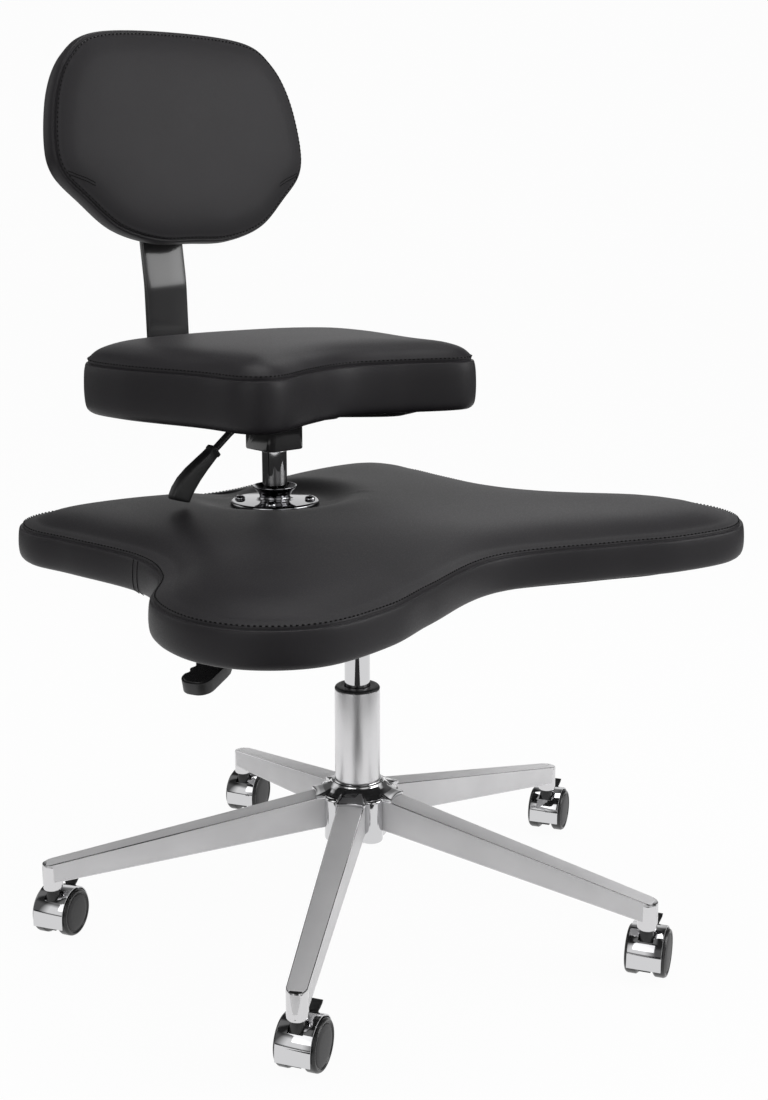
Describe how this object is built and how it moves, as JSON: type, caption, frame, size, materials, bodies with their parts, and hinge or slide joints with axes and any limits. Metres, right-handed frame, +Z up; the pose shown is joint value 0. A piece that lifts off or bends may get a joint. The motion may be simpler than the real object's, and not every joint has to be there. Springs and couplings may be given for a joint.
{
  "type": "office chair",
  "caption": "Cross-legged office chair: a small padded seat and backrest over a wide padded leg platform, on gas lifts and a star base with braked casters.",
  "frame": {"origin": "on the floor, under the middle of the chair's bounding box", "axes": "+Z is up, the sitter faces -Y, and +X is the sitter's left"},
  "size_m": [0.7476, 0.7195, 0.9773],
  "materials": {
    "leatherette": "black leatherette, a coated fabric, over foam",
    "board": "plywood under black lining cloth",
    "satin_aluminium": "satin brushed with polished edges",
    "chrome": "polished chrome plate",
    "steel": "bright machined steel",
    "black_steel": "glossy black powder coat",
    "black_plastic": "satin black moulded nylon",
    "wheel_plastic": "smooth black moulded nylon"
  },
  "bodies": {
    "base": {"base_star": "satin_aluminium", "caster_stem_1": "steel", "caster_stem_2": "steel", "caster_stem_3": "steel", "caster_stem_4": "steel", "caster_stem_5": "steel", "column_tube": "satin_aluminium", "column_bush": "black_plastic", "thrust_bearing": "steel"},
    "column_spindle": {"piston_rod": "steel", "column_clip": "steel"},
    "platform": {"gas_cylinder": "chrome", "platform_mount": "black_steel", "platform_board": "board", "platform_cushion": "leatherette", "post_flange": "chrome", "flange_bolt_1": "chrome", "flange_bolt_2": "chrome", "flange_bolt_3": "chrome", "flange_bolt_4": "chrome", "post_tube": "black_steel"},
    "platform_valve": {"valve_pin": "steel"},
    "platform_lever": {"platform_lever_rod": "black_steel", "platform_lever_paddle": "black_plastic"},
    "post_spindle": {"post_rod": "steel"},
    "seat": {"post_cylinder": "chrome", "seat_mechanism": "black_steel", "seat_board": "board", "seat_cushion": "leatherette", "back_bar": "black_steel", "back_board": "board", "backrest_cushion": "leatherette"},
    "seat_valve": {"post_valve_pin": "steel"},
    "seat_lever": {"seat_lever_rod": "black_steel", "seat_lever_handle": "black_plastic"},
    "caster_1": {"caster_body_1": "black_plastic", "caster_hood_1": "chrome"},
    "wheel_left_1": {"caster_wheel_left_1": "wheel_plastic"},
    "wheel_right_1": {"caster_wheel_right_1": "wheel_plastic"},
    "brake_1": {"caster_brake_1": "black_plastic"},
    "caster_2": {"caster_body_2": "black_plastic", "caster_hood_2": "chrome"},
    "wheel_left_2": {"caster_wheel_left_2": "wheel_plastic"},
    "wheel_right_2": {"caster_wheel_right_2": "wheel_plastic"},
    "brake_2": {"caster_brake_2": "black_plastic"},
    "caster_3": {"caster_body_3": "black_plastic", "caster_hood_3": "chrome"},
    "wheel_left_3": {"caster_wheel_left_3": "wheel_plastic"},
    "wheel_right_3": {"caster_wheel_right_3": "wheel_plastic"},
    "brake_3": {"caster_brake_3": "black_plastic"},
    "caster_4": {"caster_body_4": "black_plastic", "caster_hood_4": "chrome"},
    "wheel_left_4": {"caster_wheel_left_4": "wheel_plastic"},
    "wheel_right_4": {"caster_wheel_right_4": "wheel_plastic"},
    "brake_4": {"caster_brake_4": "black_plastic"},
    "caster_5": {"caster_body_5": "black_plastic", "caster_hood_5": "chrome"},
    "wheel_left_5": {"caster_wheel_left_5": "wheel_plastic"},
    "wheel_right_5": {"caster_wheel_right_5": "wheel_plastic"},
    "brake_5": {"caster_brake_5": "black_plastic"}
  },
  "joints": [
    {"name": "column_swivel", "type": "hinge", "parent": "base", "child": "column_spindle", "pos_m": [-0.0095, -0.021, 0.1], "axis": [0, 0, 1], "continuous": true},
    {"name": "platform_lift", "type": "slide", "parent": "column_spindle", "child": "platform", "axis": [0, 0, 1], "range_m": [-0.045, 0.055]},
    {"name": "platform_lever_rock", "type": "hinge", "parent": "platform", "child": "platform_lever", "pos_m": [-0.03648, -0.03163, 0.39174], "axis": [-0.3665, 0.9304, 0], "range_deg": [0, 4]},
    {"name": "platform_valve_press", "type": "slide", "parent": "platform", "child": "platform_valve", "axis": [0, 0, -1], "range_m": [0, 0.0022]},
    {"name": "seat_swivel", "type": "hinge", "parent": "platform", "child": "post_spindle", "pos_m": [-0.0095, 0.119, 0.3], "axis": [0, 0, 1], "continuous": true},
    {"name": "seat_lift", "type": "slide", "parent": "post_spindle", "child": "seat", "axis": [0, 0, 1], "range_m": [0, 0.06]},
    {"name": "seat_lever_rock", "type": "hinge", "parent": "seat", "child": "seat_lever", "pos_m": [-0.0325, 0.119, 0.5485], "axis": [0, 1, 0], "range_deg": [0, 6]},
    {"name": "seat_valve_press", "type": "slide", "parent": "seat", "child": "seat_valve", "axis": [0, 0, -1], "range_m": [0, 0.0026]},
    {"name": "caster_swivel_1", "type": "hinge", "parent": "base", "child": "caster_1", "pos_m": [0.32807, -0.0039, 0.05], "axis": [0, 0, 1], "continuous": true},
    {"name": "wheel_roll_left_1", "type": "hinge", "parent": "caster_1", "child": "wheel_left_1", "pos_m": [0.34048, 0.00257, 0.02568], "axis": [-0.4617, 0.887, 0], "continuous": true},
    {"name": "wheel_roll_right_1", "type": "hinge", "parent": "caster_1", "child": "wheel_right_1", "pos_m": [0.34048, 0.00257, 0.02568], "axis": [-0.4617, 0.887, 0], "continuous": true},
    {"name": "brake_press_1", "type": "hinge", "parent": "caster_1", "child": "brake_1", "pos_m": [0.35828, 0.01183, 0.04026], "axis": [-0.4617, 0.887, 0], "range_deg": [0, 22]},
    {"name": "caster_swivel_2", "type": "hinge", "parent": "base", "child": "caster_2", "pos_m": [0.07855, 0.30533, 0.05], "axis": [0, 0, 1], "continuous": true},
    {"name": "wheel_roll_left_2", "type": "hinge", "parent": "caster_2", "child": "wheel_left_2", "pos_m": [0.09097, 0.31179, 0.02568], "axis": [-0.4617, 0.887, 0], "continuous": true},
    {"name": "wheel_roll_right_2", "type": "hinge", "parent": "caster_2", "child": "wheel_right_2", "pos_m": [0.09097, 0.31179, 0.02568], "axis": [-0.4617, 0.887, 0], "continuous": true},
    {"name": "brake_press_2", "type": "hinge", "parent": "caster_2", "child": "brake_2", "pos_m": [0.10877, 0.32106, 0.04026], "axis": [-0.4617, 0.887, 0], "range_deg": [0, 22]},
    {"name": "caster_swivel_3", "type": "hinge", "parent": "base", "child": "caster_3", "pos_m": [-0.29265, 0.16358, 0.05], "axis": [0, 0, 1], "continuous": true},
    {"name": "wheel_roll_left_3", "type": "hinge", "parent": "caster_3", "child": "wheel_left_3", "pos_m": [-0.28023, 0.17005, 0.02568], "axis": [-0.4617, 0.887, 0], "continuous": true},
    {"name": "wheel_roll_right_3", "type": "hinge", "parent": "caster_3", "child": "wheel_right_3", "pos_m": [-0.28023, 0.17005, 0.02568], "axis": [-0.4617, 0.887, 0], "continuous": true},
    {"name": "brake_press_3", "type": "hinge", "parent": "caster_3", "child": "brake_3", "pos_m": [-0.26243, 0.17931, 0.04026], "axis": [-0.4617, 0.887, 0], "range_deg": [0, 22]},
    {"name": "caster_swivel_4", "type": "hinge", "parent": "base", "child": "caster_4", "pos_m": [-0.27255, -0.23325, 0.05], "axis": [0, 0, 1], "continuous": true},
    {"name": "wheel_roll_left_4", "type": "hinge", "parent": "caster_4", "child": "wheel_left_4", "pos_m": [-0.26013, -0.22679, 0.02568], "axis": [-0.4617, 0.887, 0], "continuous": true},
    {"name": "wheel_roll_right_4", "type": "hinge", "parent": "caster_4", "child": "wheel_right_4", "pos_m": [-0.26013, -0.22679, 0.02568], "axis": [-0.4617, 0.887, 0], "continuous": true},
    {"name": "brake_press_4", "type": "hinge", "parent": "caster_4", "child": "brake_4", "pos_m": [-0.24233, -0.21752, 0.04026], "axis": [-0.4617, 0.887, 0], "range_deg": [0, 22]},
    {"name": "caster_swivel_5", "type": "hinge", "parent": "base", "child": "caster_5", "pos_m": [0.11108, -0.33676, 0.05], "axis": [0, 0, 1], "continuous": true},
    {"name": "wheel_roll_left_5", "type": "hinge", "parent": "caster_5", "child": "wheel_left_5", "pos_m": [0.1235, -0.3303, 0.02568], "axis": [-0.4617, 0.887, 0], "continuous": true},
    {"name": "wheel_roll_right_5", "type": "hinge", "parent": "caster_5", "child": "wheel_right_5", "pos_m": [0.1235, -0.3303, 0.02568], "axis": [-0.4617, 0.887, 0], "continuous": true},
    {"name": "brake_press_5", "type": "hinge", "parent": "caster_5", "child": "brake_5", "pos_m": [0.14129, -0.32103, 0.04026], "axis": [-0.4617, 0.887, 0], "range_deg": [0, 22]}
  ],
  "couplings": [
    {"joint": "platform_valve_press", "follows": "platform_lever_rock", "m_per_rad": 0.029},
    {"joint": "seat_valve_press", "follows": "seat_lever_rock", "m_per_rad": 0.023}
  ]
}
